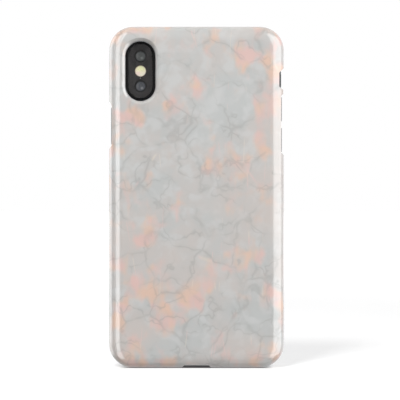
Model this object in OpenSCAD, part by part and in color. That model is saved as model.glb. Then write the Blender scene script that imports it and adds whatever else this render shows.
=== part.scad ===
// Smartphone with a full-face display and two rear cameras, in a thin glossy clip-on case.
//
// Every part is drawn lying on its face: x runs across, y runs along the phone from its bottom edge,
// and z is the depth behind the outside of the display glass. upright() then stands the part on its
// bottom edge with the back towards -Y, and the origin is under the middle of the case.

/* [Phone] */
// Width over the steel band
body_w = 71.7; // [71.2:0.1:72.5]
// Length over the steel band
body_h = 141.9; // [141:0.1:144]
// Thickness over the two glasses
body_t = 7.7; // [7.65:0.05:7.8]
// Radius of the four corners in plan
corner_r = 9; // [8.9:0.1:9.4]
// Thickness of the front and back glass
glass_t = 0.75; // [0.7:0.05:0.8]
// Thickness of the steel band at its middle
wall_t = 2.3; // [2.2:0.05:2.4]

/* [Case] */
// Thickness of the case round the sides
case_wall = 1; // [0.9:0.05:1.1]
// Thickness of the case behind the back glass
case_back = 1.3; // [1.2:0.05:1.4]
// Clearance between the case and the steel band
case_gap = 0.1; // [0.05:0.01:0.12]
// How far the corner lips stand in front of the display glass
case_front = 0.35; // [0.3:0.05:0.5]
// How far the corner lips reach over the phone's edge
lip_w = 2; // [1.8:0.1:2.1]
// Length of the corner lips along the sides
corner_lip = 25; // [22:1:26]
// Radius of the case's back edge, where it turns into the side
back_r = 3.4; // [3.3:0.05:3.5]
// Radius of the shallow bow between the flat back and that edge
bow_r = 11; // [10:0.5:12]
// Angle that the shallow bow turns through
bow_angle = 20; // [18:1:22]
// Depth of the lowered rim between the corner lips
rim_z = 0.9; // [0.8:0.05:1]
// How far the bumpers at the two bottom corners stand out
bumper_rise = 0.25; // [0.2:0.05:0.3]
// Height of those bumpers up the sides
bumper_h = 24; // [20:1:25]
// Height trimmed flat under the bottom edge, so that the case stands
base_trim = 0.25; // [0.2:0.05:0.3]
// Size of the charging notch at the case's outer face and at its floor
port_notch = [13.1, 9.7]; // [9:0.1:14]

/* [Cameras] */
// Middle of the camera window across the back
cam_x = -23.55; // [-24:0.05:-23]
// Middle of the camera window below the phone's top edge
cam_drop = 17.9; // [17:0.1:18.5]
// Distance between the two lens axes
lens_pitch = 12.66; // [12.6:0.02:12.7]
// Distance between the centres of the round ends of the camera window
cam_span = 12.65; // [12.6:0.05:13]
// Width of the raised camera ring
ring_w = 12.25; // [11.8:0.05:12.4]
// How far the camera ring stands above the back glass
ring_rise = 1; // [0.9:0.05:1.1]
// Focus travel of the lens barrels
focus_travel = 0.25; // [0.1:0.05:0.3]

/* [Controls] */
// Middle of the side button below the top edge
side_drop = 40.8; // [40:0.1:42]
// Length of the side button
side_button_l = 15.8; // [15:0.1:16]
// Middle of the volume up button below the top edge
up_drop = 33.7; // [33.5:0.1:34]
// Middle of the volume down button below the top edge
down_drop = 46.7; // [46.5:0.1:47]
// Length of each volume button
volume_l = 10.4; // [10:0.1:10.4]
// Middle of the ring switch below the top edge
ring_drop = 21.4; // [21:0.1:22]
// Length of the ring switch slot
ring_slot_l = 6.1; // [6:0.1:6.2]
// Height of the buttons, measured through the phone's thickness
button_h = 2.6; // [2.4:0.1:2.6]
// How far the buttons stand out of the band
button_rise = 0.25; // [0.2:0.05:0.3]
// Travel of the ring switch
ring_travel = 0.8; // [0.6:0.1:0.8]

/* [Hidden] */
$fn = 64;

// Outline of the phone and the case
half_w = body_w / 2;
mid_z = body_t / 2;
edge_r = body_t / 2;
edge_u = corner_r - edge_r;
side_run = body_h - 2 * corner_r;
end_run = body_w - 2 * corner_r;
wall_u = corner_r - wall_t;
case_over = case_gap + case_wall;
case_u = corner_r + case_over;
case_half_w = half_w + case_over;
case_z0 = -case_front;
case_z1 = body_t + case_back;
lip_u = corner_r - lip_w;
lip_r = case_u - lip_u;
lip_slope = 2;
through = 200;

// Openings in the case: [distance below the phone's top edge, depth of the cut] down each side
left_cuts = [[30, 0], [32.9, 1.27], [48.9, 1.27], [51, 0]];
right_cuts = [
    [16.1, 0], [18.8, 2.1], [24.4, 2.1], [25.9, 0.35], [27.2, 0.35], [28.5, 1.27], [51.9, 1.27], [53.6, 0]
];
ramp_steps = 6;
cut_open_z = 2.6;
port_cut_y = 0.4;
bevel_w = 1.2;
bevel_t = 0.8;
window_gap = 0.25;
slot_size = [14, 2.6];
slot_x = 17.7;

// Depths of the layers, from the display to the back glass
mask_t = 0.05;
panel_z = glass_t + mask_t;
shield_z = panel_z + 0.35;
shield_end = shield_z + 0.2;
bay_z0 = 2;
bay_z1 = 5.9;
plate_z0 = 6.1;
plate_z1 = 6.5;
seal_t = 0.15;
band_z0 = glass_t + seal_t;
band_z1 = body_t - glass_t - seal_t;
glass_z = body_t - glass_t;

// Plan of the inside
bay_x = half_w - 5.45;
board_x = -9.5;
board_y0 = 64;
board_y1 = 110;
radio_y0 = 87;
radio_y1 = 106.5;
sim_y = body_h - 66;
bay_top = 24.5;
battery_y = [26, 61.5, 62.3, 108];
sensor_y = body_h - 5.9;
earpiece_y = body_h - 4.9;
notch_w = 30;
notch_y = body_h - 9.2;

// Camera window, from the back glass inwards
cam_y = body_h - cam_drop;
ring_t = 1;
ledge_t = 0.5;
ledge_z = body_t + 0.15;
print_t = 0.08;
cover_t = 0.62;
ring_z1 = body_t + ring_rise;
flange_t = 0.4;
housing = [11.2, 11.6];
housing_z = [2.3, 6.4];
barrel_r = 3.2;
barrel_z = [3.2, ledge_z - focus_travel - 0.1];
bore_r = 3.4;

// Controls
side_y = body_h - side_drop;
up_y = body_h - up_drop;
down_y = body_h - down_drop;
ring_y = body_h - ring_drop;
slot_gap = 0.08;
flange_x = [-2.75, -2.35];
nub_x = -3.55;
switch_x = [-4.6, -3.7];
bracket_x = [-5, -4.65];
lever_h = 1.5;
lever_z = mid_z - ring_travel / 2;
ring_slot_h = lever_h + ring_travel + 0.2;
lever_rise = 0.05;

// Bottom edge
grille_x0 = 12.2;
grille_pitch = 2.2;
grille_d = 1.5;
screw_x = 7.6;
port_mouth = [8.6, 2.8];
port_y = [2.35, 9];

// Haptic motor, speaker, coil and screws: [x, y, depth of the seat under the head]
haptic_c = [18.45, 17.5];
haptic_size = [23.9, 14];
mass_size = [17, 12.6, 2.7];
mass_z = 2.5;
speaker_c = [-18.45, 16.2];
coil_c = [0, body_h / 2 - 4];
tab_z = 5.3;
screw_spots = [
    [9.75, 9.4, tab_z], [27.25, 9.4, tab_z], [-5.2, 21.75, tab_z], [5.2, 21.75, tab_z],
    [-5.4, 7.25, tab_z], [5.4, 7.25, tab_z], [-28.8, 108.3, bay_z0], [-11.1, 108.3, bay_z0],
    [-11.1, 65.7, bay_z0]
];
screw_d = 1;

// ---- Frames, sweeps and small shapes ----

// Stands the lying phone on its bottom edge with the back towards -Y
module upright()
    translate([0, (case_z0 + case_z1) / 2, case_over - base_trim])
        rotate([90, 0, 0])
            children();

// Local x along the phone, y through its thickness, z outward to the right
module facing_side() rotate([90, 0, 90]) children();

// Local x across the phone, z along it from the bottom edge
module facing_end() rotate([-90, 0, 0]) children();

// Middle of the camera window, with local x along the phone
module at_camera() translate([cam_x, cam_y, 0]) rotate([0, 0, 90]) children();

// Box between two opposite corners
module box(from, to) translate(from) cube(to - from);

module quarter(r) intersection() {
    circle(r);
    square(r);
}

// Carries a section round the phone's outline: x is outward from the corner centres, y is depth
module around() translate([0, body_h / 2, 0]) for (k = [0:3]) {
    run = k % 2 == 0 ? side_run : end_run;
    reach = k % 2 == 0 ? end_run / 2 : side_run / 2;
    rotate([0, 0, 90 * k]) translate([reach, 0, 0]) {
        rotate([90, 0, 0]) linear_extrude(run, center = true) children();
        translate([0, run / 2, 0]) rotate_extrude(angle = 90) children();
    }
}

// Block between the four corner centres
module core(z0, z1) box([-end_run / 2, corner_r, z0], [end_run / 2, corner_r + side_run, z1]);

// Flat plate with the phone's outline, u beyond the corner centres
module plate(u, z0, z1) {
    around() translate([0, z0]) square([u, z1 - z0]);
    core(z0, z1);
}

// Flat frame between two such outlines
module frame(u0, u1, z0, z1) around() translate([u0, z0]) square([u1 - u0, z1 - z0]);

// Carries a section round a slot shape that is long along x: section x is outward, y is up
module pill_sweep(span) for (a = [0, 180]) rotate([0, 0, a]) {
    translate([span / 2, 0, 0]) rotate([0, 0, -90]) rotate_extrude(angle = 180) children();
    rotate([90, 0, 90]) linear_extrude(span, center = true) children();
}

module pill(l, w, h) pill_sweep(l - w) square([w / 2, h]);

// Slot shape with its top edge rounded
module soft_pill(l, w, h, r) pill_sweep(l - w) {
    square([w / 2, h - r]);
    translate([0, h - r]) square([w / 2 - r, r]);
    translate([w / 2 - r, h - r]) quarter(r);
}

// Plate with rounded corners, centred on x and y
module slab(w, l, h, r) linear_extrude(h) {
    square([w - 2 * r, l], center = true);
    for (a = [0, 180]) rotate(a) {
        translate([w / 2 - r, r - l / 2]) square([r, l - 2 * r]);
        translate([w / 2 - r, l / 2 - r]) quarter(r);
        translate([w / 2 - r, r - l / 2]) mirror([0, 1]) quarter(r);
    }
}

// Lens element: flat underneath and domed on top by sag
module lens(r, h, sag) rotate_extrude() {
    square([r, h - sag]);
    dome_r = (r * r + sag * sag) / (2 * sag);
    translate([0, h - sag]) intersection() {
        translate([0, sag - dome_r]) circle(dome_r, $fn = 360);
        square([r, sag]);
    }
}

// Slot shape along the right side, between two distances from the band's outer face
module side_pill(y, l, h, x0, x1)
    translate([half_w + x0, y, mid_z]) facing_side() pill(l, h, x1 - x0);

// Block along the right side, on the same distances
module side_box(y, l, h, x0, x1)
    box([half_w + x0, y - l / 2, mid_z - h / 2], [half_w + x1, y + l / 2, mid_z + h / 2]);

// ---- Case ----

// The shallow bow starts at bow_from, meets the tighter edge at bow_to, and that edge ends at side_top
bow_c = [case_u - back_r - (bow_r - back_r) * sin(bow_angle), case_z1 - bow_r];
edge_c = bow_c + (bow_r - back_r) * [sin(bow_angle), cos(bow_angle)];
bow_from = bow_c + [0, bow_r];
bow_to = bow_c + bow_r * [sin(bow_angle), cos(bow_angle)];
side_top = edge_c + [back_r, 0];

// Part of a disc beyond the chord from a to b, up to the point c outside it
module beyond_chord(centre, r, a, b, c) intersection() {
    translate(centre) circle(r);
    polygon([a, b, c]);
}

// Outside of the case wall
module case_outline() {
    flat_z0 = case_z0 + lip_r;
    polygon([
        [0, case_z0], [lip_u, case_z0], [lip_u, flat_z0], [case_u, flat_z0], side_top, bow_to, bow_from,
        [0, case_z1]
    ]);
    beyond_chord(bow_c, bow_r, bow_from, bow_to, [bow_to[0] + 1, case_z1 + 1]);
    beyond_chord(edge_c, back_r, bow_to, side_top, [case_u + 3, case_z1 + 1]);
    translate([lip_u, flat_z0]) mirror([0, 1]) quarter(lip_r);
}

// Low bumper along the two bottom corners of the case
module corner_bumper() {
    skin_u = case_u + bumper_rise;
    intersection() {
        around() polygon([
            [case_u - 1, 0.9], [case_u - 0.1, 0.9], [skin_u, 1.5], [skin_u, 2.5], [case_u, 3.2],
            [case_u - 1, 3.2]
        ]);
        box([-body_w, -case_over, 0], [body_w, bumper_h, body_t]);
    }
}

// Room for the phone, open to the front inside the lip
module case_room() {
    translate([0, case_z0 - 1]) square([lip_u, edge_r + 1 - case_z0]);
    square([edge_u, body_t]);
    intersection() {
        translate([edge_u, edge_r]) circle(edge_r + case_gap);
        translate([edge_u, -case_gap]) square([edge_r + case_gap, body_t + case_gap]);
    }
}

function ease(t) = t * t * (3 - 2 * t);
function mix(a, b, t) = a + (b - a) * t;

// Points of a cut's floor, with an eased ramp wherever the depth changes
function ramps(cuts) = [
    for (i = [0:len(cuts) - 2])
        let (a = cuts[i], b = cuts[i + 1], steps = a[1] == b[1] ? 1 : ramp_steps)
        for (j = [0:steps - 1])
            [mix(a[0], b[0], j / steps), mix(a[1], b[1], ease(j / steps))],
    cuts[len(cuts) - 1]
];

// Cut down the right side of the case, open to the front between its first and last ramps
module side_cut(cuts) {
    last = len(cuts) - 1;
    floor = [for (p = ramps(cuts)) [case_half_w - p[1], body_h - p[0]]];
    outer = [[case_half_w + 1, body_h - cuts[last][0]], [case_half_w + 1, body_h - cuts[0][0]]];
    translate([0, 0, case_z0 - 1]) linear_extrude(case_z1 - case_z0 + 2) polygon(concat(floor, outer));
    box(
        [half_w - lip_w - 1, body_h - cuts[last - 1][0], case_z0 - 1],
        [case_half_w + 1, body_h - cuts[1][0], cut_open_z]
    );
}

// Length of rim lowered between two corner lips
module rim_dip(l) rotate([90, 0, 90]) linear_extrude(through, center = true) polygon([
    [-l / 2 - lip_slope, case_z0 - 1], [l / 2 + lip_slope, case_z0 - 1], [l / 2, rim_z], [-l / 2, rim_z]
]);

module camera_opening() at_camera() pill_sweep(cam_span) {
    r = ring_w / 2 + window_gap;
    polygon([
        [0, body_t - 1], [r, body_t - 1], [r, case_z1 - bevel_t],
        [r + 1.5 * bevel_w, case_z1 + bevel_t / 2], [0, case_z1 + bevel_t / 2]
    ]);
}

module port_opening() {
    translate([0, 0, case_z0 - 1]) linear_extrude(case_z1 - case_z0 + 2) polygon([
        [-port_notch[0] / 2, -2], [-port_notch[0] / 2, -case_over], [-port_notch[1] / 2, port_cut_y],
        [port_notch[1] / 2, port_cut_y], [port_notch[0] / 2, -case_over], [port_notch[0] / 2, -2]
    ]);
    box([-port_notch[0] / 2, -2, case_z0 - 1], [port_notch[0] / 2, lip_w + 1, cut_open_z]);
}

module hard_case() color("#c7c0bc") upright() difference() {
    union() {
        around() difference() {
            case_outline();
            case_room();
        }
        core(body_t, case_z1);
        corner_bumper();
    }
    camera_opening();
    side_cut(right_cuts);
    mirror([1, 0, 0]) side_cut(left_cuts);
    translate([0, body_h / 2, 0]) {
        rim_dip(body_h - 2 * corner_lip - 2 * lip_slope);
        rotate([0, 0, 90]) rim_dip(end_run - corner_lip);
    }
    port_opening();
    for (s = [-1, 1]) translate([s * slot_x, -2, mid_z]) facing_end() pill(slot_size[0], slot_size[1], 2.5);
    box([-half_w, -case_over - 1, case_z0 - 1], [half_w, base_trim - case_over, case_z1 + 1]);
}

// ---- Steel band and chassis ----

// Part of the phone's round edge between two depths, from u0 outwards
module edge_section(u0, z0, z1) intersection() {
    translate([edge_u, edge_r]) circle(edge_r);
    translate([u0, z0]) square([corner_r - u0, z1 - z0]);
}

module antenna_slabs() {
    for (y = [12.5, body_h - 12.5]) box([-half_w - 1, y - 0.6, 0], [half_w + 1, y + 0.6, body_t]);
    for (x = [-25.6, 25.6]) box([x - 0.6, -1, 0], [x + 0.6, body_h + 1, body_t]);
}

module antenna_inserts() color("#55585c") upright() intersection() {
    around() edge_section(corner_r - 0.8, band_z0, band_z1);
    antenna_slabs();
}

module bottom_hole(x, d, y0, y1) translate([x, y0, mid_z]) facing_end() cylinder(d = d, h = y1 - y0);

module steel_band() color("#a3a5a8") upright() difference() {
    around() edge_section(wall_u, band_z0, band_z1);
    intersection() {
        around() edge_section(corner_r - 0.8, band_z0, band_z1);
        antenna_slabs();
    }
    side_pill(up_y, volume_l + 2 * slot_gap, button_h + 2 * slot_gap, -3, 1);
    side_pill(down_y, volume_l + 2 * slot_gap, button_h + 2 * slot_gap, -3, 1);
    side_pill(ring_y, ring_slot_l, ring_slot_h, -3, 1);
    mirror([1, 0, 0]) {
        side_pill(side_y, side_button_l + 2 * slot_gap, button_h + 2 * slot_gap, -3, 1);
        side_pill(sim_y, 14.7, 2.1, -3, 1);
    }
    translate([0, -1, mid_z]) facing_end() pill(port_mouth[0], port_mouth[1], 4);
    for (s = [-1, 1]) {
        for (i = [0:5]) bottom_hole(s * (grille_x0 + grille_pitch * i), grille_d, -1, 3);
        bottom_hole(s * screw_x, 1.1, -1, 3);
        bottom_hole(s * screw_x, 2, -1, 0.9);
    }
}

module chassis_plate() color("#b9bbbd") upright() difference() {
    plate(wall_u, plate_z0, plate_z1);
    translate([cam_x, cam_y, plate_z0 - 1]) slab(12.2, 25.2, 2, 1);
    for (p = screw_spots) translate([p[0], p[1], plate_z0 - 1]) cylinder(d = screw_d + 0.1, h = 2);
}

module bottom_screws() color("#d0d2d4") upright() for (s = [-1, 1]) difference() {
    union() {
        bottom_hole(s * screw_x, 1.8, 0.3, 0.9);
        bottom_hole(s * screw_x, 1, 0.9, 3);
    }
    bottom_hole(s * screw_x, 0.8, 0, 0.6);
}

// Cross-head screw: its head's underside is at the origin and its shank rises
module cross_screw(shank) difference() {
    union() {
        translate([0, 0, -0.4]) cylinder(d = 1.6, h = 0.4);
        cylinder(d = screw_d, h = shank);
    }
    for (a = [0, 90]) rotate([0, 0, a]) translate([-0.5, -0.12, -1.4]) cube([1, 0.24, 1.2]);
}

module frame_screws() color("#c9cbcd") upright()
    for (p = screw_spots) translate(p) cross_screw(plate_z1 - 0.1 - p[2]);

// ---- Display side ----

// Through-cut behind the notch that holds the earpiece, camera and face sensors
module notch_cut() box([-notch_w / 2 - 0.2, notch_y, 0], [notch_w / 2 + 0.2, body_h, bay_z0]);

module front_glass() color("#0d0e10") upright() difference() {
    union() {
        around() {
            square([edge_u, glass_t]);
            edge_section(edge_u, 0, glass_t);
        }
        core(0, glass_t);
    }
    translate([0, earpiece_y, -1]) pill(10.5, 1.3, 3);
}

module border_mask() color("#050506") upright() difference() {
    plate(wall_u - 0.05, glass_t, panel_z);
    difference() {
        plate(corner_r - 3.9, glass_t - 1, panel_z + 1);
        translate([0, body_h - 3.9, 0]) slab(notch_w, 2 * (body_h - 3.9 - notch_y), 2, 3);
    }
    translate([0, earpiece_y, 0]) pill(10.5, 1.3, 3);
    for (x = [-12.2, -7.7, 8.6, 13.1]) translate([x, sensor_y, 0]) cylinder(d = 2.4, h = 2);
}

module display_panel() color("#0a0b0d") upright() difference() {
    plate(6.2, panel_z, shield_z);
    notch_cut();
}

module display_shield() color("#b5b7b9") upright() difference() {
    plate(6.1, shield_z, shield_end);
    notch_cut();
}

module display_frame() color("#2a2b2e") upright() frame(6.32, 6.62, panel_z, 1.7);

module glass_seals() color("#1b1b1d") upright() {
    frame(6.8, 7.35, glass_t, band_z0);
    frame(6.8, 7.35, band_z1, glass_z);
}

module earpiece_mesh() color("#303236") upright() difference() {
    translate([0, earpiece_y, 0.15]) pill(10.3, 1.1, 0.4);
    for (i = [-9:9]) for (j = [-0.25, 0.25])
        translate([i * 0.5, earpiece_y + j, 0]) cylinder(d = 0.28, h = 1, $fn = 16);
}

module earpiece_speaker() color("#2f3134") upright() difference() {
    translate([0, sensor_y + 0.1, 1.4]) slab(11.2, 5.4, 3.2, 0.6);
    translate([0, earpiece_y, 0.9]) pill(9.6, 1, 1.2);
}

// Small camera: square housing with a barrel that looks out through the glass
module small_camera(x, w, d) translate([x, sensor_y, 0]) difference() {
    union() {
        translate([0, 0, 1.9]) slab(w, 5.2, 2.9, 0.4);
        translate([0, 0, 0.85]) cylinder(d = d, h = 1.05);
    }
    translate([0, 0, 0.6]) cylinder(d1 = d - 0.6, d2 = 1.2, h = 0.8);
}

module front_camera() color("#1d1e20") upright() small_camera(8.6, 4.8, 3.6);

module face_sensors() color("#26282b") upright() {
    small_camera(-12.2, 4.8, 3.6);
    small_camera(-7.7, 3.4, 2.6);
    small_camera(13.1, 3.4, 2.8);
}

// ---- Back glass and cameras ----

module back_glass() color("#c9ccd0") upright() difference() {
    union() {
        around() {
            translate([0, glass_z]) square([edge_u, glass_t]);
            edge_section(edge_u, glass_z, body_t);
        }
        core(glass_z, body_t);
    }
    at_camera() translate([0, 0, glass_z - 1]) pill(cam_span + ring_w + 0.2, ring_w + 0.2, 3);
}

module camera_ring() color("#131315") upright() at_camera() pill_sweep(cam_span) {
    outer_r = ring_w / 2;
    inner_r = outer_r - ring_t;
    ledge_r = inner_r - ledge_t;
    rim_r = ring_t / 2;
    translate([ledge_r, plate_z1]) square([outer_r + 1.25 - ledge_r, flange_t]);
    translate([ledge_r, plate_z1 + flange_t]) square([outer_r - ledge_r, ledge_z - plate_z1 - flange_t]);
    translate([inner_r, ledge_z]) square([ring_t, ring_z1 - rim_r - ledge_z]);
    translate([inner_r + rim_r, ring_z1 - rim_r]) intersection() {
        circle(rim_r);
        translate([-rim_r, 0]) square([2 * rim_r, rim_r]);
    }
}

// Slot plate that lies on the ring's ledge
module window_plate(z, t) {
    w = ring_w - 2 * ring_t - 0.1;
    translate([0, 0, z]) pill(cam_span + w, w, t);
}

module camera_mask() color("#2b2c2f") upright() at_camera() difference() {
    window_plate(ledge_z, print_t);
    for (x = [-lens_pitch / 2, lens_pitch / 2]) translate([x, 0, ledge_z - 1]) cylinder(d = 5.4, h = 3);
    translate([0, 0, ledge_z - 1]) cylinder(d = 4.7, h = 3);
    translate([-3, 0, ledge_z - 1]) cylinder(d = 0.6, h = 3);
}

module camera_cover_glass() color("#3c3d40") upright() at_camera() window_plate(ledge_z + print_t, cover_t);

module camera_housing() difference() {
    translate([0, 0, housing_z[0]]) slab(housing[1], housing[0], housing_z[1] - housing_z[0], 0.5);
    translate([0, 0, housing_z[0] + 0.5]) cylinder(r = bore_r, h = 6);
    translate([-4, -4, housing_z[0] - 1]) cube([8, 8, 1.5]);
}

// Barrel with a flared mouth, a front bore and a stop between the lens groups
module lens_barrel(r) rotate_extrude() polygon([
    [barrel_r, barrel_z[0]], [barrel_r, barrel_z[1]], [r + 0.6, barrel_z[1]], [r, barrel_z[1] - 0.45],
    [r + 0.2, barrel_z[1] - 0.45],
    [r + 0.2, 6.1], [1.2, 6.1], [1.2, 5.9], [r + 0.2, 5.9], [r + 0.2, barrel_z[0]]
]);

module lens_group(r) {
    translate([0, 0, 6.1]) lens(r + 0.2, 0.95, 0.35);
    translate([0, 0, 4.7]) lens(r + 0.2, 0.9, 0.3);
    translate([0, 0, 3.4]) lens(r + 0.2, 0.8, 0.25);
}

module at_wide() at_camera() translate([lens_pitch / 2, 0, 0]) children();
module at_tele() at_camera() translate([-lens_pitch / 2, 0, 0]) children();

module wide_camera_housing() color("#8f9194") upright() at_wide() camera_housing();
module tele_camera_housing() color("#8f9194") upright() at_tele() camera_housing();
module wide_lens_barrel() color("#1a1a1c") upright() at_wide() lens_barrel(2.1);
module tele_lens_barrel() color("#1a1a1c") upright() at_tele() lens_barrel(2);
module wide_lenses() color("#53665c") upright() at_wide() lens_group(2.1);
module tele_lenses() color("#4e5f70") upright() at_tele() lens_group(2);

module camera_sensor_boards() color("#20452f") upright() at_camera()
    for (x = [-lens_pitch / 2, lens_pitch / 2]) translate([x, 0, 0]) {
        translate([-5.4, -5.2, 1.95]) cube([10.8, 10.4, housing_z[0] - 1.95]);
        translate([-3, -3, housing_z[0]]) cube([6, 6, 0.3]);
    }

module flash_diffuser() color("#efe9cf") upright() at_camera() translate([0, 0, 7.2]) lens(2.25, 0.6, 0.15);

module flash_led_board() color("#d8c66a") upright() at_camera() {
    translate([-2.6, -4.6, 6.6]) cube([5.2, 9.2, 0.4]);
    for (x = [-0.8, 0.8]) for (y = [-0.8, 0.8]) translate([x - 0.6, y - 0.6, 7]) cube([1.2, 1.2, 0.2]);
}

// ---- Buttons and switches ----

// Button for the right side: rounded cap, flange behind the band and a nub that meets the switch
module press_button(y, l) {
    translate([half_w + flange_x[1], y, mid_z]) facing_side()
        soft_pill(l, button_h, button_rise - flange_x[1], 0.2);
    side_pill(y, l + 1.6, button_h + 1, flange_x[0], flange_x[1]);
    translate([half_w + nub_x, y, mid_z]) facing_side() cylinder(d = 1.2, h = flange_x[0] - nub_x);
}

// Switch with a recess that takes the button's nub
module press_switch(y) difference() {
    side_box(y, 6, 2.8, switch_x[0], switch_x[1]);
    translate([half_w + switch_x[1] - 0.4, y, mid_z]) facing_side() cylinder(d = 1.8, h = 1);
}

module side_button() color("#9b9da0") upright() mirror([1, 0, 0]) press_button(side_y, side_button_l);
module volume_up_button() color("#9b9da0") upright() press_button(up_y, volume_l);
module volume_down_button() color("#9b9da0") upright() press_button(down_y, volume_l);
module side_button_switch() color("#33353a") upright() mirror([1, 0, 0]) press_switch(side_y);

module volume_switches() color("#33353a") upright() {
    press_switch(up_y);
    press_switch(down_y);
}

module button_brackets() color("#c2c4c6") upright() {
    side_box((up_y + down_y) / 2, up_y - down_y + 8, 3.4, bracket_x[0], bracket_x[1]);
    mirror([1, 0, 0]) side_box(side_y, 10, 3.4, bracket_x[0], bracket_x[1]);
}

// Lever at its ring position: a tab through the slot on a sliding plate
module ring_switch_lever() color("#9b9da0") upright() {
    translate([half_w - 2.45, ring_y, lever_z]) facing_side()
        soft_pill(ring_slot_l - 0.5, lever_h, 2.45 + lever_rise, 0.2);
    box([half_w - 2.9, ring_y - 3.6, lever_z - 1.75], [half_w - 2.45, ring_y + 3.6, lever_z + 1.75]);
}

module silent_marker() color("#e8641e") upright()
    box([half_w - 2.45, ring_y - 2.6, lever_z - 1.6], [half_w - 2.36, ring_y + 2.6, lever_z - 0.85]);

module ring_switch_body() color("#33353a") upright() side_box(ring_y, 9, 4, -4.4, -3.05);

// ---- SIM ----

module sim_tray() color("#9b9da0") upright() mirror([1, 0, 0]) difference() {
    union() {
        side_pill(sim_y, 14.6, 2, -2.2, 0);
        side_box(sim_y, 13.8, 1.2, -13.4, -2.2);
    }
    box([half_w - 12.4, sim_y - 6.25, mid_z - 0.3], [half_w - 3.4, sim_y + 6.25, mid_z + 1]);
    box([half_w - 11.9, sim_y - 5.5, mid_z - 1], [half_w - 4.2, sim_y + 5.5, mid_z + 1]);
}

module sim_card() color("#d9dadb") upright() mirror([1, 0, 0])
    box([half_w - 12.3, sim_y - 6.15, mid_z - 0.3], [half_w - 3.5, sim_y + 6.15, mid_z + 0.37]);

module sim_reader() color("#c6c8ca") upright() mirror([1, 0, 0]) difference() {
    box([half_w - 14.2, sim_y - 7.8, 2.7], [half_w - 3, sim_y + 7.8, 5]);
    box([half_w - 13.8, sim_y - 7.1, mid_z - 0.75], [half_w - 2, sim_y + 7.1, mid_z + 0.75]);
}

// ---- Battery and boards ----

module cell(x0, x1, y0, y1) translate([(x0 + x1) / 2, (y0 + y1) / 2, bay_z0])
    slab(x1 - x0, y1 - y0, bay_z1 - bay_z0, 1.5);

module battery_main_cell() color("#1c1d1f") upright() cell(-8, bay_x, battery_y[2], battery_y[3]);
module battery_lower_cell() color("#1c1d1f") upright() cell(-32, bay_x, battery_y[0], battery_y[1]);

module logic_board() color("#16324a") upright() difference() {
    union() {
        box([-bay_x, board_y0, bay_z0], [board_x, board_y1, bay_z0 + 0.7]);
        box([-33, sim_y - 9.5, bay_z0], [-bay_x, sim_y + 9.5, bay_z0 + 0.7]);
    }
    for (p = screw_spots) translate([p[0], p[1], bay_z0 - 1]) cylinder(d = screw_d + 0.1, h = 3);
}

module board_interposer() color("#2b6a45") upright() difference() {
    box([-bay_x, radio_y0, 2.7], [board_x, radio_y1, 4.3]);
    box([1 - bay_x, radio_y0 + 1, 2], [board_x - 1, radio_y1 - 1, 5]);
}

module radio_board() color("#16324a") upright() box([-bay_x, radio_y0, 4.3], [board_x, radio_y1, 4.9]);

module board_chips() color("#101113") upright() {
    box([-27.5, radio_y0 + 4, 2.7], [-13.5, radio_y0 + 16, 4.1]);
    for (x = [-28.6, -21.2]) box([x, radio_y0 + 2.5, 4.9], [x + 6, radio_y0 + 9, 5.5]);
    for (x = [-28.6, -23.4, -18.2]) box([x, radio_y0 + 11, 4.9], [x + 4.2, radio_y0 + 17.5, 5.4]);
    for (y = [68, 76]) box([-19, y, 2.7], [-12.5, y + 6, 3.6]);
}

module board_shield() color("#bfc1c3") upright() difference() {
    box([0.4 - bay_x, radio_y0 + 0.4, 4.9], [board_x - 0.4, radio_y1 - 0.4, bay_z1]);
    box([0.6 - bay_x, radio_y0 + 0.6, 4], [board_x - 0.6, radio_y1 - 0.6, bay_z1 - 0.2]);
}

// ---- Haptic motor, speaker and charging ----

module screw_tab(x0, x1, y0, y1, spot) difference() {
    box([x0, y0, tab_z], [x1, y1, bay_z1]);
    translate([spot[0], spot[1], tab_z - 1]) cylinder(d = screw_d + 0.1, h = 3);
}

module haptic_housing() color("#b0b2b4") upright() {
    translate([haptic_c[0], haptic_c[1], 0]) difference() {
        translate([0, 0, 2.2]) slab(haptic_size[0], haptic_size[1], bay_z1 - 2.2, 0.8);
        translate([0, 0, 2]) slab(haptic_size[0] - 0.8, haptic_size[1] - 0.8, 3.5, 0.5);
    }
    screw_tab(8, 11.5, 8.2, haptic_c[1] - haptic_size[1] / 2, screw_spots[0]);
    screw_tab(25.5, 29, 8.2, haptic_c[1] - haptic_size[1] / 2, screw_spots[1]);
    screw_tab(3.9, haptic_c[0] - haptic_size[0] / 2, 20, 23.5, screw_spots[3]);
}

module haptic_cover() color("#c4c6c8") upright() translate([haptic_c[0], haptic_c[1], bay_z0])
    slab(haptic_size[0], haptic_size[1], 0.2, 0.8);

module haptic_mass() color("#6f7175") upright() translate([haptic_c[0], haptic_c[1], mass_z])
    slab(mass_size[0], mass_size[1], mass_size[2], 0.6);

// Folded leaf springs between the mass and the ends of its housing
module haptic_springs() color("#d4d6d8") upright() translate([haptic_c[0], haptic_c[1], mass_z + 0.2]) {
    reach = haptic_size[0] / 2 - 0.4;
    start = mass_size[0] / 2;
    for (a = [0, 180]) rotate([0, 0, a]) linear_extrude(2.2) polygon([
        [start, 5], [start, 4.2], [reach - 0.5, 0.1], [reach - 0.5, -5], [reach, -5], [reach, 0.4],
        [start + 0.7, 5]
    ]);
}

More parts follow.
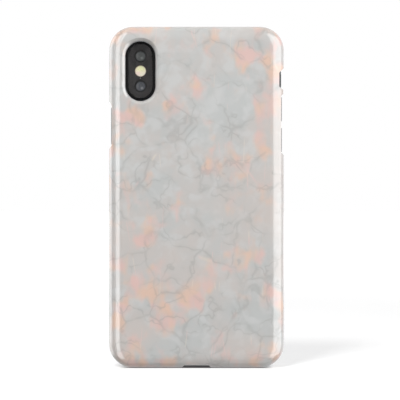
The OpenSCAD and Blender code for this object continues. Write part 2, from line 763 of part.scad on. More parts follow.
module speaker_box() color("#1e1f21") upright() {
    difference() {
        box([-bay_x, 3.2, bay_z0], [-6.5, bay_top, bay_z1]);
        box([0.5 - bay_x, 3.7, bay_z0 - 1], [-7, bay_top - 0.5, bay_z1 - 0.5]);
        translate([-grille_x0 - 2.5 * grille_pitch, 2, mid_z]) facing_end() pill(13, 1.6, 3);
    }
    difference() {
        box([0.5 - bay_x, 8.4, 2.4], [-7, bay_top - 0.5, 3.1]);
        translate([speaker_c[0], speaker_c[1], 1]) slab(17.6, 12.6, 3, 3.3);
    }
    screw_tab(-6.5, -3.9, 20, 23.5, screw_spots[2]);
}

module speaker_diaphragm() color("#3a3c40") upright() translate([speaker_c[0], speaker_c[1], 0]) {
    translate([0, 0, 2.6]) slab(17, 12, 0.3, 3);
    translate([0, 0, 2.9]) rotate_extrude() translate([3.45, 0]) square([0.5, 1.4]);
}

module speaker_magnet() color("#84868a") upright() translate([speaker_c[0], speaker_c[1], 0]) {
    translate([0, 0, 4.9]) cylinder(r = 5.5, h = 0.5);
    translate([0, 0, 3.3]) cylinder(r = 3.2, h = 1.6);
    translate([0, 0, 3.3]) rotate_extrude() translate([4.2, 0]) square([1.3, 1.6]);
}

module charging_port() color("#a9abad") upright() {
    translate([0, port_y[0], mid_z]) facing_end() difference() {
        pill(9, 3.2, port_y[1] - port_y[0]);
        translate([0, 0, -0.6]) pill(8.4, 2.6, port_y[1] - port_y[0]);
    }
    for (s = [0, 1]) mirror([s, 0, 0])
        screw_tab(4.1, 6.4, 6, 8.5, screw_spots[5]);
}

module port_tongue() color("#1b1c1e") upright()
    box([-3.35, 3, mid_z - 0.35], [3.35, port_y[1] - 0.6, mid_z + 0.35]);

module microphones() color("#c9b566") upright() for (x = [13.3, 20]) box([x, 2.4, 2.9], [x + 3.6, 4.4, 4.8]);

module coil_ferrite() color("#3b3d40") upright()
    translate([coil_c[0], coil_c[1], plate_z1]) cylinder(r = 22.5, h = 0.15);

module charging_coil() color("#c07a45") upright() translate([coil_c[0], coil_c[1], plate_z1 + 0.15])
    rotate_extrude() for (i = [0:8]) translate([10.2 + 1.25 * i, 0]) square([0.95, 0.25]);

// ---- Assembly ----

hard_case();
steel_band();
antenna_inserts();
chassis_plate();
front_glass();
border_mask();
display_panel();
display_shield();
display_frame();
glass_seals();
back_glass();
camera_ring();
camera_cover_glass();
camera_mask();
wide_camera_housing();
wide_lens_barrel();
wide_lenses();
tele_camera_housing();
tele_lens_barrel();
tele_lenses();
camera_sensor_boards();
flash_diffuser();
flash_led_board();
side_button();
side_button_switch();
volume_up_button();
volume_down_button();
volume_switches();
button_brackets();
ring_switch_lever();
silent_marker();
ring_switch_body();
sim_tray();
sim_card();
sim_reader();
battery_main_cell();
battery_lower_cell();
logic_board();
board_interposer();
radio_board();
board_chips();
board_shield();
haptic_housing();
haptic_cover();
haptic_mass();
haptic_springs();
speaker_box();
speaker_diaphragm();
speaker_magnet();
earpiece_speaker();
earpiece_mesh();
front_camera();
face_sensors();
charging_port();
port_tongue();
microphones();
charging_coil();
coil_ferrite();
bottom_screws();
frame_screws();
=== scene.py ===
import math

import bmesh
import bpy
from mathutils import Matrix, Vector


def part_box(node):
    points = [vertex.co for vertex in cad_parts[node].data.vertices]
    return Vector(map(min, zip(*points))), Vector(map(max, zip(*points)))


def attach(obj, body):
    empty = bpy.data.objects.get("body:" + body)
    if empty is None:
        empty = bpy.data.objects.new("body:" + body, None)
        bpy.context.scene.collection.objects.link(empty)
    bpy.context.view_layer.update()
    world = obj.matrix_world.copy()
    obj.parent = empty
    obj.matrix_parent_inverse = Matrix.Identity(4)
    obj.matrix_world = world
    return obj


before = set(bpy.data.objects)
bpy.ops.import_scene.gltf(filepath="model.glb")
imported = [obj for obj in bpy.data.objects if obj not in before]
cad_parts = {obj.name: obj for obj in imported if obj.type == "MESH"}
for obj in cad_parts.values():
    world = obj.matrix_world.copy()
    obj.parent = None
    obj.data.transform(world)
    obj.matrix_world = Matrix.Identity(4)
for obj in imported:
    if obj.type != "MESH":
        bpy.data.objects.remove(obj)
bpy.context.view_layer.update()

MM = 0.001
WHITE = (1.0, 1.0, 1.0)


# ---- Node trees, with lengths in millimetres ----

SOCKETS = {
    "colour": "Base Color",
    "rough": "Roughness",
    "metal": "Metallic",
    "normal": "Normal",
    "specular": "Specular IOR Level",
    "coat": "Coat Weight",
    "coat_rough": "Coat Roughness",
    "coat_ior": "Coat IOR",
    "coat_normal": "Coat Normal",
}


class Look:
    """A material and the short calls that build its nodes."""

    def __init__(self, slot):
        self.mat = bpy.data.materials.new(slot + "_look")
        self.mat.use_nodes = True
        self.tree = self.mat.node_tree
        self.tree.nodes.clear()
        self.out = self.node("ShaderNodeOutputMaterial")
        self.bsdf = self.node("ShaderNodeBsdfPrincipled")
        self.tree.links.new(self.bsdf.outputs[0], self.out.inputs["Surface"])
        self.place = self.scaled(self.node("ShaderNodeTexCoord").outputs["Object"], (1 / MM,) * 3)

    def node(self, kind):
        return self.tree.nodes.new(kind)

    def feed(self, socket, value):
        """Links a socket, or sets a plain number, colour or vector."""
        if isinstance(value, bpy.types.NodeSocket):
            self.tree.links.new(value, socket)
        elif isinstance(value, (int, float)):
            socket.default_value = value
        else:
            size = len(socket.default_value)
            socket.default_value = (tuple(value) + (1.0,))[:size]

    def set(self, **sockets):
        for key, value in sockets.items():
            self.feed(self.bsdf.inputs[SOCKETS[key]], value)

    def scaled(self, vector, scale, shift=(0, 0, 0)):
        n = self.node("ShaderNodeMapping")
        self.feed(n.inputs["Vector"], vector)
        self.feed(n.inputs["Scale"], scale)
        self.feed(n.inputs["Location"], shift)
        return n.outputs[0]

    def moved(self, vector, shift):
        return self.scaled(vector, (1, 1, 1), shift)

    def vector(self, operation, a, b):
        n = self.node("ShaderNodeVectorMath")
        n.operation = operation
        self.feed(n.inputs[0], a)
        self.feed(n.inputs["Scale" if operation == "SCALE" else 1], b)
        return n.outputs["Vector"]

    def length(self, vector):
        n = self.node("ShaderNodeVectorMath")
        n.operation = "LENGTH"
        self.feed(n.inputs[0], vector)
        return n.outputs["Value"]

    def axes(self, at=None):
        n = self.node("ShaderNodeSeparateXYZ")
        self.feed(n.inputs[0], at or self.place)
        return n.outputs

    def math(self, operation, a, b=0.0):
        n = self.node("ShaderNodeMath")
        n.operation = operation
        self.feed(n.inputs[0], a)
        self.feed(n.inputs[1], b)
        return n.outputs[0]

    def remap(self, value, low, high, to_low=0.0, to_high=1.0):
        """Smooth step from to_low at low to to_high at high."""
        n = self.node("ShaderNodeMapRange")
        n.interpolation_type = "SMOOTHSTEP"
        self.feed(n.inputs["Value"], value)
        self.feed(n.inputs["From Min"], low)
        self.feed(n.inputs["From Max"], high)
        self.feed(n.inputs["To Min"], to_low)
        self.feed(n.inputs["To Max"], to_high)
        return n.outputs[0]

    def mix(self, share, a, b):
        n = self.node("ShaderNodeMix")
        n.data_type = "RGBA"
        self.feed(n.inputs[0], share)
        self.feed(n.inputs[6], a)
        self.feed(n.inputs[7], b)
        return n.outputs[2]

    def noise(self, size, detail=2.0, roughness=0.5, at=None, as_colour=False):
        """Noise with features about size across."""
        n = self.node("ShaderNodeTexNoise")
        self.feed(n.inputs["Vector"], at or self.place)
        self.feed(n.inputs["Scale"], 1 / size)
        self.feed(n.inputs["Detail"], detail)
        self.feed(n.inputs["Roughness"], roughness)
        return n.outputs[1 if as_colour else 0]

    def warped(self, size, reach, at=None, detail=2.0):
        """Places pushed about by up to reach, in swirls about size across."""
        at = at or self.place
        swirl = self.noise(size, detail, 0.5, at, as_colour=True)
        push = self.vector("SUBTRACT", swirl, (0.5, 0.5, 0.5))
        return self.vector("ADD", at, self.vector("SCALE", push, 2 * reach))

    def cells(self, size, feature="DISTANCE_TO_EDGE", at=None, randomness=1.0):
        """Voronoi cells about size across. The distance comes out in millimetres."""
        n = self.node("ShaderNodeTexVoronoi")
        n.feature = feature
        self.feed(n.inputs["Vector"], at or self.place)
        self.feed(n.inputs["Scale"], 1 / size)
        self.feed(n.inputs["Randomness"], randomness)
        return self.math("MULTIPLY", n.outputs["Distance"], size)

    def waves(self, pitch, axis="X", at=None, rings=False):
        """Even ridges, pitch apart, along an axis or round it."""
        n = self.node("ShaderNodeTexWave")
        if rings:
            n.wave_type = "RINGS"
            n.rings_direction = axis
        else:
            n.wave_type = "BANDS"
            n.bands_direction = axis
        self.feed(n.inputs["Vector"], at or self.place)
        self.feed(n.inputs["Scale"], math.pi / 10 / pitch)
        return n.outputs[1]

    def bump(self, height, depth):
        """Relief of the given depth where height runs from 0 to 1."""
        n = self.node("ShaderNodeBump")
        self.feed(n.inputs["Strength"], 1.0)
        self.feed(n.inputs["Distance"], depth * MM)
        self.feed(n.inputs["Height"], height)
        return n.outputs[0]


LOOKS = {}


def look(slot):
    LOOKS[slot] = Look(slot)
    return LOOKS[slot]


def tint(colour, factor):
    return tuple(min(1.0, c * factor) for c in colour)


def middle(name):
    """The middle of a CAD node's box, in millimetres."""
    low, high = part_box(name)
    return tuple((low + high) / 2 / MM)


# ---- Families of finishes ----

def grained(m, rough, grain, stretch=(1, 1, 1)):
    """Sets a gloss that varies with a fine grain, and gives the grain."""
    fine = m.noise(grain, 3.0, 0.6, m.scaled(m.place, stretch))
    m.set(rough=m.remap(fine, 0.3, 0.7, rough * 0.85, rough * 1.2))
    return fine


def drifting(m, colour, spread, patch):
    """A colour that drifts lighter and darker over patches."""
    drift = m.noise(patch, 3.0, 0.6)
    return m.mix(m.remap(drift, 0.3, 0.7), tint(colour, 1 - spread), tint(colour, 1 + spread))


def worked(slot, colour, rough, grain, depth, spread=0.12, patch=5.0, stretch=(1, 1, 1), **sockets):
    """Colour that drifts over patches, with a fine grain in gloss and relief, long where stretch is small."""
    m = look(slot)
    fine = grained(m, rough, grain, stretch)
    m.set(colour=drifting(m, colour, spread, patch), normal=m.bump(fine, depth), **sockets)


def pane(slot, tint_through, mirror_rough, ior):
    """Clear glass: it shows what is behind it, and mirrors more at a slant."""
    m = look(slot)
    m.tree.nodes.remove(m.bsdf)
    clear = m.node("ShaderNodeBsdfTransparent")
    m.feed(clear.inputs["Color"], tint_through)
    smear = m.noise(9.0, 4.0, 0.6)
    mirror = m.node("ShaderNodeBsdfGlossy")
    m.feed(mirror.inputs["Color"], WHITE)
    m.feed(mirror.inputs["Roughness"], m.remap(smear, 0.35, 0.75, mirror_rough, mirror_rough * 2.2))
    fresnel = m.node("ShaderNodeFresnel")
    m.feed(fresnel.inputs["IOR"], ior)
    both = m.node("ShaderNodeMixShader")
    m.feed(both.inputs[0], fresnel.outputs[0])
    m.feed(both.inputs[1], clear.outputs[0])
    m.feed(both.inputs[2], mirror.outputs[0])
    m.feed(m.out.inputs["Surface"], both.outputs[0])


# ---- The case ----

GREY_COOL = (0.464, 0.474, 0.468)
GREY_WARM = (0.496, 0.473, 0.455)
GREY_PALE = (0.53, 0.538, 0.532)
PEACH = (0.68, 0.46, 0.35)
PINK = (0.665, 0.445, 0.405)
BLUSH = (0.56, 0.473, 0.43)
VEIN = (0.3, 0.288, 0.28)
HAIR_PINK = (0.66, 0.47, 0.45)
HAIR_CREAM = (0.66, 0.6, 0.5)
# Dark colour painted on the bumpers as shade
BUMPER_SHADE = (0.07, 0.068, 0.066)

# The bottom corners of the case: their centres, their radius, and the top of the bumpers
CORNER_X = 26.85
CORNER_Z = 9.85
CASE_REACH = 10.1
BUMPER_TOP = 25.2


def stone_ground(m):
    """Cool and warm grey in broad clouds, with paler patches."""
    cloud = m.noise(15.0, 3.0, 0.55, m.warped(20.0, 6.0))
    stone = m.mix(m.remap(cloud, 0.38, 0.62), GREY_COOL, GREY_WARM)
    pale = m.noise(6.0, at=m.moved(m.warped(13.0, 3.0), (31, 0, 7)))
    return m.mix(m.remap(pale, 0.46, 0.68, 0.0, 0.7), stone, GREY_PALE)


def stains(m, stone, which):
    """Pink and peach stains with faint upright streaks, and a wide blush."""
    hue = m.mix(m.remap(which, 0.42, 0.58), PINK, PEACH)
    stain = m.noise(10.0, at=m.scaled(m.warped(9.0, 2.2), (1.0, 1.0, 0.8), (12, 0, 33)))
    streak = m.noise(1.5, at=m.scaled(m.place, (1, 1, 0.1)))
    stained = m.math("ADD", stain, m.math("MULTIPLY", streak, 0.1))
    stone = m.mix(m.remap(stained, 0.54, 0.74, 0.0, 0.85), stone, hue)
    flush = m.noise(24.0, 1.0, at=m.moved(m.place, (7, 61, 2)))
    return m.mix(m.remap(flush, 0.45, 0.7, 0.0, 0.35), stone, BLUSH)


def veins(m):
    """Strength of the veins: cell walls and contour lines, thin cores in soft halos, faded in places."""
    wall = m.cells(16.0, at=m.warped(2.6, 0.8, m.warped(9.0, 4.5, detail=1.0)))
    level = m.noise(15.0, 3.0, 0.48, m.moved(m.warped(3.0, 0.7), (3, 9, 27)))
    contour = m.math("ABSOLUTE", m.math("SUBTRACT", level, 0.5))
    core = m.math("MAXIMUM", m.remap(wall, 0.0, 0.7, 0.28, 0.0), m.remap(contour, 0.0, 0.016, 0.3, 0.0))
    halo = m.math("MAXIMUM", m.remap(wall, 0.0, 2.6, 0.11, 0.0), m.remap(contour, 0.0, 0.055, 0.1, 0.0))
    breaks = m.noise(10.0, at=m.moved(m.place, (5, 70, 20)))
    return m.math("MULTIPLY", m.math("ADD", core, halo), m.remap(breaks, 0.38, 0.6, 0.12, 1.0))


def hairlines(m):
    """Strength of a few fine upright lines."""
    hair = m.remap(m.cells(11.0, at=m.scaled(m.place, (1.0, 1.0, 0.16), (3, 0, 11))), 0.0, 0.22, 1.0, 0.0)
    where = m.noise(10.0, 1.0, at=m.moved(m.place, (81, 3, 44)))
    return m.math("MULTIPLY", hair, m.remap(where, 0.53, 0.63, 0.0, 0.45))


def bumper_shade_mask(m):
    """1 on the bumpers, which stand out past the case's own corners and are painted dark as shade."""
    axes = m.axes()
    x, z = axes[0], axes[2]
    sideways = m.math("MAXIMUM", m.math("SUBTRACT", m.math("ABSOLUTE", x), CORNER_X), 0.0)
    down = m.math("MINIMUM", m.math("SUBTRACT", z, CORNER_Z), 0.0)
    squares = m.math("ADD", m.math("MULTIPLY", sideways, sideways), m.math("MULTIPLY", down, down))
    outside = m.remap(m.math("SQRT", squares), CASE_REACH + 0.015, CASE_REACH + 0.04)
    return m.math("MULTIPLY", outside, m.remap(z, BUMPER_TOP, BUMPER_TOP + 0.2, 1.0, 0.0))


def marble_case():
    """Glossy print of pale grey stone with veins, stains and hairlines, and bumpers painted dark as shade."""
    m = look("marble_case")
    which = m.noise(7.0, 1.0, at=m.moved(m.place, (50, 10, 90)))
    stone = stains(m, stone_ground(m), which)
    stone = m.mix(veins(m), stone, VEIN)
    stone = m.mix(hairlines(m), stone, m.mix(m.remap(which, 0.4, 0.6), HAIR_PINK, HAIR_CREAM))
    # Painted shade: the bumpers are coloured dark
    stone = m.mix(bumper_shade_mask(m), stone, BUMPER_SHADE)
    gloss = m.noise(6.0, 3.0, 0.6)
    peel = m.noise(2.5)
    m.set(colour=stone, rough=m.remap(gloss, 0.3, 0.7, 0.3, 0.4), specular=0.55)
    m.set(coat=1.0, coat_rough=0.06, coat_ior=1.8, coat_normal=m.bump(peel, 0.0012))


# ---- Glass and lenses ----

LENS_MIDDLE_R = 1.5
LENS_RIM_R = 2.3
# Offset in millimetres of the painted highlight on each lens from the lens axis
PAINTED_GLINT_SHIFT = (-0.55, 0, 0.75)


def back_glass():
    worked("back_glass_white", (0.62, 0.63, 0.65), 0.12, 3.0, 0.0008, 0.03, 12.0,
           specular=0.5, coat=1.0, coat_rough=0.03)


def lens(slot, rim, pupil, glint_colour, centre):
    """Coated lens: dark rim, lighter middle, and a painted highlight, a small bright spot off the axis."""
    m = look(slot)
    flat = m.scaled(m.vector("SUBTRACT", m.place, centre), (1, 0, 1))
    coat = m.noise(1.1)
    body = m.mix(m.remap(m.length(flat), LENS_MIDDLE_R, LENS_RIM_R), pupil, rim)
    body = m.mix(m.remap(coat, 0.35, 0.65, 0.0, 0.3), body, tint(pupil, 0.55))
    # Painted highlight: a small bright spot off the lens axis, in the glint colour
    painted_glint = m.remap(m.length(m.moved(flat, PAINTED_GLINT_SHIFT)), 0.85, 0.15, 0.0, 0.8)
    m.set(colour=m.mix(painted_glint, body, glint_colour), specular=0.4)
    m.set(rough=m.remap(coat, 0.3, 0.7, 0.16, 0.3), coat=0.25, coat_rough=0.1)


def flash_cream(centre):
    """Milky lens with a painted glow, fine rings, greenish-yellow above and pinkish low on one side."""
    m = look("flash_cream")
    at = m.vector("SUBTRACT", m.place, centre)
    cloud = m.noise(1.3)
    height = m.remap(m.math("ADD", m.axes(at)[2], cloud), -0.6, 1.6)
    body = m.mix(height, (0.86, 0.80, 0.66), (0.80, 0.80, 0.50))
    corner = m.length(m.scaled(at, (1, 0, 1), (1.0, 0, 1.1)))
    body = m.mix(m.remap(corner, 1.5, 0.3, 0.0, 0.55), body, (0.86, 0.66, 0.58))
    radius = m.length(m.scaled(at, (1, 0, 1)))
    body = m.mix(m.remap(radius, 1.7, 2.25, 0.0, 0.5), body, (0.55, 0.52, 0.42))
    ring = m.waves(0.28, "Y", at, rings=True)
    m.set(colour=body, rough=m.remap(cloud, 0.3, 0.7, 0.22, 0.34), normal=m.bump(ring, 0.01))
    m.set(coat=1.0, coat_rough=0.05)
    # Painted light: the lens glows in its own colour, though it is no lamp
    m.feed(m.bsdf.inputs["Emission Color"], body)
    m.feed(m.bsdf.inputs["Emission Strength"], 0.52)


# ---- Prints, plastics and inside parts ----

PAD_GOLD = (0.75, 0.55, 0.22)


def barrel_black():
    """Black barrel with fine ribs."""
    m = look("barrel_black")
    grained(m, 0.45, 0.2)
    m.set(colour=drifting(m, (0.04, 0.04, 0.042), 0.2, 3.0), normal=m.bump(m.waves(0.28, "Y"), 0.02))


def board(slot, mask, track):
    """Solder mask over branching tracks, with small gold pads."""
    m = look(slot)
    line = m.remap(m.cells(1.7, randomness=0.35), 0.06, 0.16, 1.0, 0.0)
    pads = m.remap(m.cells(1.1, "F1", randomness=0.25), 0.12, 0.17, 1.0, 0.0)
    lots = m.noise(6.0)
    pads = m.math("MULTIPLY", pads, m.remap(lots, 0.46, 0.52))
    body = m.mix(m.math("MULTIPLY", line, 0.55), mask, track)
    body = m.mix(m.remap(lots, 0.3, 0.7, 0.0, 0.3), body, tint(mask, 0.5))
    body = m.mix(pads, body, PAD_GOLD)
    m.set(colour=body, metal=m.math("MULTIPLY", pads, 0.9), rough=m.remap(lots, 0.3, 0.7, 0.28, 0.42))
    m.set(normal=m.bump(m.math("MAXIMUM", line, pads), 0.012), coat=0.5, coat_rough=0.15)


def chip_black():
    """Moulded packages with small dimples and paler frosting."""
    m = look("chip_black")
    grained(m, 0.5, 0.15)
    frost = m.noise(0.5, 3.0, 0.7)
    body = m.mix(m.remap(frost, 0.45, 0.65, 0.0, 0.4), (0.012, 0.012, 0.014), (0.03, 0.03, 0.033))
    dimple = m.remap(m.cells(4.2, "F1", randomness=0.6), 0.25, 0.35, 1.0, 0.0)
    m.set(colour=m.mix(dimple, body, (0.05, 0.05, 0.055)), normal=m.bump(dimple, -0.03))


def battery_black():
    """Laminated foil: soft pillowed wrinkles and a fine embossed weave."""
    m = look("battery_black")
    grained(m, 0.32, 0.4)
    wrinkle = m.noise(7.0, 3.0, at=m.scaled(m.place, (1, 1, 0.4)))
    weave = m.math("MULTIPLY", m.waves(0.35, "X"), m.waves(0.35, "Z"))
    relief = m.math("ADD", wrinkle, m.math("MULTIPLY", weave, 0.03))
    m.set(colour=drifting(m, (0.015, 0.015, 0.017), 0.2, 9.0), normal=m.bump(relief, 0.12), specular=0.45)


def copper():
    """Enamelled strands that run round the coil."""
    m = look("copper")
    grained(m, 0.28, 0.3)
    at = m.vector("SUBTRACT", m.place, middle("charging_coil"))
    strand = m.waves(0.24, "Y", at, rings=True)
    m.set(colour=drifting(m, (0.62, 0.26, 0.1), 0.15, 4.0), normal=m.bump(strand, 0.04), metal=1.0)


def ferrite():
    """Grey sheet, crazed into small tiles."""
    m = look("ferrite")
    grained(m, 0.45, 0.3)
    crack = m.remap(m.cells(2.6, randomness=0.9), 0.0, 0.12, 1.0, 0.0)
    sheet = m.mix(m.math("MULTIPLY", crack, 0.6), (0.05, 0.052, 0.056), (0.012, 0.012, 0.013))
    m.set(colour=sheet, normal=m.bump(crack, -0.02))


def diaphragm():
    """Thin film with rolled rings."""
    m = look("diaphragm")
    grained(m, 0.4, 0.2)
    at = m.vector("SUBTRACT", m.place, middle("speaker_diaphragm"))
    ring = m.waves(0.9, "Y", at, rings=True)
    m.set(colour=drifting(m, (0.04, 0.042, 0.046), 0.12, 3.0), normal=m.bump(ring, 0.08))


def card_plastic():
    """White card with a gold contact block cut into fields."""
    m = look("card_plastic")
    fine = grained(m, 0.35, 0.25)
    at = m.vector("SUBTRACT", m.place, middle("sim_card"))
    axes = m.axes(at)
    across = m.remap(m.math("ABSOLUTE", axes[0]), 3.0, 3.1, 1.0, 0.0)
    along = m.remap(m.math("ABSOLUTE", axes[2]), 4.0, 4.1, 1.0, 0.0)
    fields = m.remap(m.waves(2.0, "Z", at), 0.05, 0.12)
    gold = m.math("MULTIPLY", m.math("MULTIPLY", across, along), fields)
    m.set(colour=m.mix(gold, (0.7, 0.7, 0.69), (0.78, 0.58, 0.25)), metal=gold, normal=m.bump(fine, 0.001))


def flex_amber():
    """Amber film with copper tracks that show through."""
    m = look("flex_amber")
    grained(m, 0.35, 0.2)
    lines = m.remap(m.waves(0.5, "X"), 0.35, 0.65)
    m.set(colour=m.mix(lines, (0.45, 0.28, 0.06), (0.62, 0.34, 0.12)), normal=m.bump(lines, 0.015))
    m.set(coat=0.6, coat_rough=0.12)


def display_black():
    """Dark display that is off: a faint grid of cells behind the polariser."""
    m = look("display_black")
    fine = grained(m, 0.25, 0.5)
    grid = m.remap(m.math("MAXIMUM", m.waves(0.16, "X"), m.waves(0.16, "Z")), 0.7, 1.0, 0.0, 0.5)
    m.set(colour=m.mix(grid, (0.006, 0.007, 0.009), (0.002, 0.002, 0.003)))
    m.set(normal=m.bump(fine, 0.0005), specular=0.15)


# ---- One finish for each material of the record ----

def outer_looks():
    marble_case()
    worked("dark_steel", (0.055, 0.055, 0.06), 0.2, 0.12, 0.0006, 0.1, 8.0, (6, 6, 0.25), metal=1.0)
    worked("insert_resin", (0.06, 0.06, 0.065), 0.42, 0.14, 0.002, 0.1, 3.0)
    back_glass()
    pane("display_glass", (0.8, 0.81, 0.82), 0.03, 1.45)
    worked("black_ink", (0.005, 0.005, 0.006), 0.4, 0.3, 0.001, 0.3, 6.0, specular=0.1)
    display_black()
    worked("seal_black", (0.02, 0.02, 0.02), 0.7, 0.2, 0.008, 0.3, 1.5)
    worked("switch_dark", (0.035, 0.037, 0.042), 0.4, 0.12, 0.002, 0.12, 2.0)
    worked("signal_orange", (0.8, 0.15, 0.02), 0.3, 0.2, 0.002, 0.06, 1.5)


def camera_looks():
    worked("camera_black", (0.004, 0.004, 0.0045), 0.42, 0.2, 0.0006, 0.2, 4.0, specular=0.1)
    pane("camera_glass", (0.96, 0.955, 0.955), 0.03, 1.45)
    worked("camera_ink", (0.061, 0.058, 0.0585), 0.5, 0.15, 0.001, 0.08, 2.5)
    worked("camera_metal", (0.42, 0.43, 0.44), 0.4, 0.1, 0.004, 0.08, 3.0, metal=1.0)
    barrel_black()
    lens("lens_green", (0.075, 0.08, 0.08), (0.17, 0.19, 0.187), (0.34, 0.35, 0.35), middle("wide_lenses"))
    lens("lens_blue", (0.075, 0.081, 0.09), (0.155, 0.175, 0.2), (0.45, 0.46, 0.49), middle("tele_lenses"))
    flash_cream(middle("flash_diffuser"))


def inner_looks():
    worked("bare_steel", (0.52, 0.53, 0.54), 0.3, 0.16, 0.0015, 0.08, 6.0, (6, 1, 0.3), metal=1.0)
    worked("screw_steel", (0.55, 0.55, 0.56), 0.25, 0.1, 0.002, 0.1, 1.0, metal=1.0)
    worked("spring_steel", (0.6, 0.6, 0.61), 0.22, 0.12, 0.001, 0.08, 3.0, (1, 1, 8), metal=1.0)
    worked("tungsten", (0.16, 0.16, 0.17), 0.5, 0.12, 0.01, 0.15, 2.0, metal=1.0)
    worked("magnet", (0.4, 0.4, 0.39), 0.3, 0.2, 0.002, 0.1, 3.0, metal=1.0)
    worked("mic_gold", (0.7, 0.52, 0.22), 0.3, 0.15, 0.002, 0.08, 1.5, metal=1.0)
    worked("speaker_black", (0.014, 0.014, 0.016), 0.55, 0.18, 0.006, 0.2, 3.0)
    board("board_blue", (0.012, 0.04, 0.075), (0.03, 0.09, 0.13))
    board("board_green", (0.015, 0.1, 0.05), (0.04, 0.18, 0.08))
    chip_black()
    flex_amber()
    card_plastic()
    battery_black()
    diaphragm()
    copper()
    ferrite()


outer_looks()
camera_looks()
inner_looks()
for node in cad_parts.values():
    for slot in node.material_slots:
        slot.material = LOOKS[slot.material.name].mat


# ---- Small pieces in the charging port and behind the bottom holes ----

FINGERS = 8
FINGER_PITCH = 0.8
FINGER_SIZE = Vector((0.42, 0.06, 3.6))
FINGER_SETBACK = 0.5
FINGER_BEVEL = 0.015
HOLE_ROW_X = 17.7
GAUZE_SIZE = (13.4, 1.9)
GAUZE_PITCH = 0.24
GAUZE_WIRE = 0.04


def scene_object(name, bm, material):
    """A new object in the scene, with the mesh that was built and one material."""
    mesh = bpy.data.meshes.new(name)
    bm.to_mesh(mesh)
    bm.free()
    mesh.materials.append(material)
    obj = bpy.data.objects.new(name, mesh)
    bpy.context.scene.collection.objects.link(obj)
    return obj


def phone_piece(name, bm, slot):
    piece = scene_object(name, bm, LOOKS[slot].mat)
    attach(piece, "phone")
    return piece


def port_contacts():
    """Gold fingers let into both faces of the charging port's tongue."""
    low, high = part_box("port_tongue")
    z = low.z + (FINGER_SETBACK + FINGER_SIZE.z / 2) * MM
    bm = bmesh.new()
    for y in (low.y, high.y):
        for i in range(FINGERS):
            x = (i - (FINGERS - 1) / 2) * FINGER_PITCH * MM
            place = Matrix.Translation((x, y, z)) @ Matrix.Diagonal((*(FINGER_SIZE * MM), 1.0))
            bmesh.ops.create_cube(bm, size=1.0, matrix=place)
    bmesh.ops.bevel(bm, geom=bm.edges[:], offset=FINGER_BEVEL * MM, segments=2, affect="EDGES")
    phone_piece("port_contacts", bm, "mic_gold")


def hole_gauze(name, x):
    """Wire gauze just inside the band, behind one row of bottom holes."""
    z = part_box("charging_port")[0].z + 0.6 * GAUZE_WIRE * MM
    y = sum(corner.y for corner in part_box("port_tongue")) / 2
    cells = [round(length / GAUZE_PITCH) for length in GAUZE_SIZE]
    size = Matrix.Diagonal((GAUZE_SIZE[0] * MM, GAUZE_SIZE[1] * MM, 1.0, 1.0))
    place = Matrix.Translation((x * MM, y, z)) @ size
    bm = bmesh.new()
    bmesh.ops.create_grid(bm, x_segments=cells[0], y_segments=cells[1], size=0.5, matrix=place)
    piece = phone_piece(name, bm, "speaker_black")
    wires = piece.modifiers.new("wires", "WIREFRAME")
    wires.thickness = GAUZE_WIRE * MM
    wires.use_even_offset = False


port_contacts()
hole_gauze("speaker_gauze", -HOLE_ROW_X)
hole_gauze("microphone_gauze", HOLE_ROW_X)


# ---- Floor, light and camera ----

# Half the floor's width in metres, the painted shadow colour of the floor under the phone, and the colours of
# its paper
FLOOR_REACH = 6.0
PAINTED_SHADOW = (0.07, 0.066, 0.063)
PAPER_DIM = (0.49, 0.49, 0.495)
PAPER_BRIGHT = (0.51, 0.51, 0.51)

# Where the painted shadow on the phone's footprint fades into open floor, across and through its thickness
PAINTED_SHADOW_X = (27.0, 33.0)
PAINTED_SHADOW_Y = (3.4, 4.9)

# The floor's own glow near the phone and far from it, and where it changes
GLOW_NEAR = 0.45
GLOW_FAR = 1.0
GLOW_SPAN = (250.0, 900.0)

# World light by direction: axis, from, to, strength at the first and at the second.
# It is bright on the display's side and dim on the camera's side, and dimmer low down and high up.
WORLD_FADES = (
    ("Y", -0.5, 0.5, 0.2, 1.1),
    ("Z", -0.7, -0.25, 0.62, 1.0),
    ("Z", 0.3, 0.8, 1.0, 0.45),
)

# The point that the softboxes face and the camera's place, in metres, and its lens and sensor in millimetres
AIM = Vector((0, 0, 0.07))
CAMERA_AT = (1.49 * MM, -0.471, 70.6 * MM)
CAMERA_LENS = 100.0
CAMERA_SENSOR = 36.0


def studio_floor():
    """White paper that glows, with a painted contact shadow, a dark patch right under the phone."""
    m = Look("studio_floor")
    axes = m.axes()
    beside = m.remap(m.math("ABSOLUTE", axes[0]), *PAINTED_SHADOW_X)
    away = m.remap(m.math("ABSOLUTE", axes[1]), *PAINTED_SHADOW_Y)
    outside_painted_shadow = m.math("MAXIMUM", beside, away)
    paper = m.mix(m.noise(40.0, 3.0), PAPER_DIM, PAPER_BRIGHT)
    # Painted contact shadow: under the phone the floor is dark and its glow is cut off
    m.set(colour=m.mix(outside_painted_shadow, PAINTED_SHADOW, paper), rough=0.7)
    glint_colour = m.remap(m.length(m.place), *GLOW_SPAN, GLOW_NEAR, GLOW_FAR)
    m.feed(m.bsdf.inputs["Emission Color"], WHITE)
    m.feed(m.bsdf.inputs["Emission Strength"], m.math("MULTIPLY", glint_colour, outside_painted_shadow))
    bm = bmesh.new()
    bmesh.ops.create_grid(bm, x_segments=8, y_segments=8, size=FLOOR_REACH)
    floor = scene_object("studio_floor", bm, m.mat)
    floor.visible_glossy = False
    floor.visible_diffuse = False


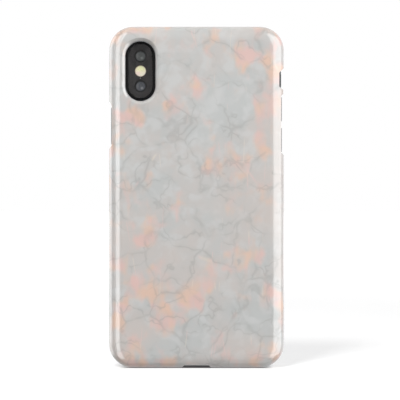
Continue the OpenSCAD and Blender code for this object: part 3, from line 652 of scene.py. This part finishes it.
def softbox(name, azimuth, elevation, distance, width, height, radiance):
    """Area light that faces the phone. Azimuth 0 is behind the camera, and 90 is to its right."""
    data = bpy.data.lights.new(name, "AREA")
    data.shape = "RECTANGLE"
    data.size = width
    data.size_y = height
    data.energy = radiance * math.pi * width * height
    lamp = bpy.data.objects.new(name, data)
    bpy.context.scene.collection.objects.link(lamp)
    a, e = math.radians(azimuth), math.radians(elevation)
    back = Vector((math.sin(a) * math.cos(e), -math.cos(a) * math.cos(e), math.sin(e)))
    lamp.location = AIM + back * distance
    lamp.rotation_mode = "QUATERNION"
    lamp.rotation_quaternion = back.to_track_quat("Z", "Y")
    lamp.visible_camera = False
    return lamp


def background(tree):
    n = tree.nodes.new("ShaderNodeBackground")
    n.inputs["Color"].default_value = (*WHITE, 1.0)
    return n


def world_strength(tree):
    """The product of the fades, which gives the world's strength by direction."""
    axes = tree.nodes.new("ShaderNodeSeparateXYZ")
    tree.links.new(tree.nodes.new("ShaderNodeTexCoord").outputs["Generated"], axes.inputs[0])
    strength = None
    for axis, *limits in WORLD_FADES:
        fade = tree.nodes.new("ShaderNodeMapRange")
        fade.interpolation_type = "SMOOTHSTEP"
        for key, limit in zip(("From Min", "From Max", "To Min", "To Max"), limits):
            fade.inputs[key].default_value = limit
        tree.links.new(axes.outputs[axis], fade.inputs["Value"])
        if strength is None:
            strength = fade.outputs[0]
            continue
        times = tree.nodes.new("ShaderNodeMath")
        times.operation = "MULTIPLY"
        tree.links.new(strength, times.inputs[0])
        tree.links.new(fade.outputs[0], times.inputs[1])
        strength = times.outputs[0]
    return strength


def studio_world():
    """Plain white where the camera sees it, and the fading light for everything else."""
    world = bpy.data.worlds.new("studio")
    bpy.context.scene.world = world
    world.use_nodes = True
    tree = world.node_tree
    tree.nodes.clear()
    soft = background(tree)
    tree.links.new(world_strength(tree), soft.inputs["Strength"])
    seen = background(tree)
    path = tree.nodes.new("ShaderNodeLightPath")
    both = tree.nodes.new("ShaderNodeMixShader")
    out = tree.nodes.new("ShaderNodeOutputWorld")
    tree.links.new(path.outputs["Is Camera Ray"], both.inputs[0])
    tree.links.new(soft.outputs[0], both.inputs[1])
    tree.links.new(seen.outputs[0], both.inputs[2])
    tree.links.new(both.outputs[0], out.inputs["Surface"])


def studio_lights():
    softbox("softbox_right", 51, 4, 0.9, 1.1, 1.5, 2.5)
    softbox("strip_left", -28, 4, 0.9, 0.27, 1.5, 2.6)
    softbox("side_left", -95, 4, 0.9, 0.8, 1.5, 1.3)
    softbox("key", -33, 57, 1.1, 0.26, 0.26, 36.0).visible_glossy = False


def studio_camera():
    data = bpy.data.cameras.new("camera")
    data.sensor_width = CAMERA_SENSOR
    data.lens = CAMERA_LENS
    camera = bpy.data.objects.new("camera", data)
    bpy.context.scene.collection.objects.link(camera)
    camera.location = CAMERA_AT
    camera.rotation_euler = (math.radians(90), 0, 0)
    bpy.context.scene.camera = camera


studio_floor()
studio_world()
studio_lights()
studio_camera()
bpy.context.scene.view_settings.view_transform = "Standard"
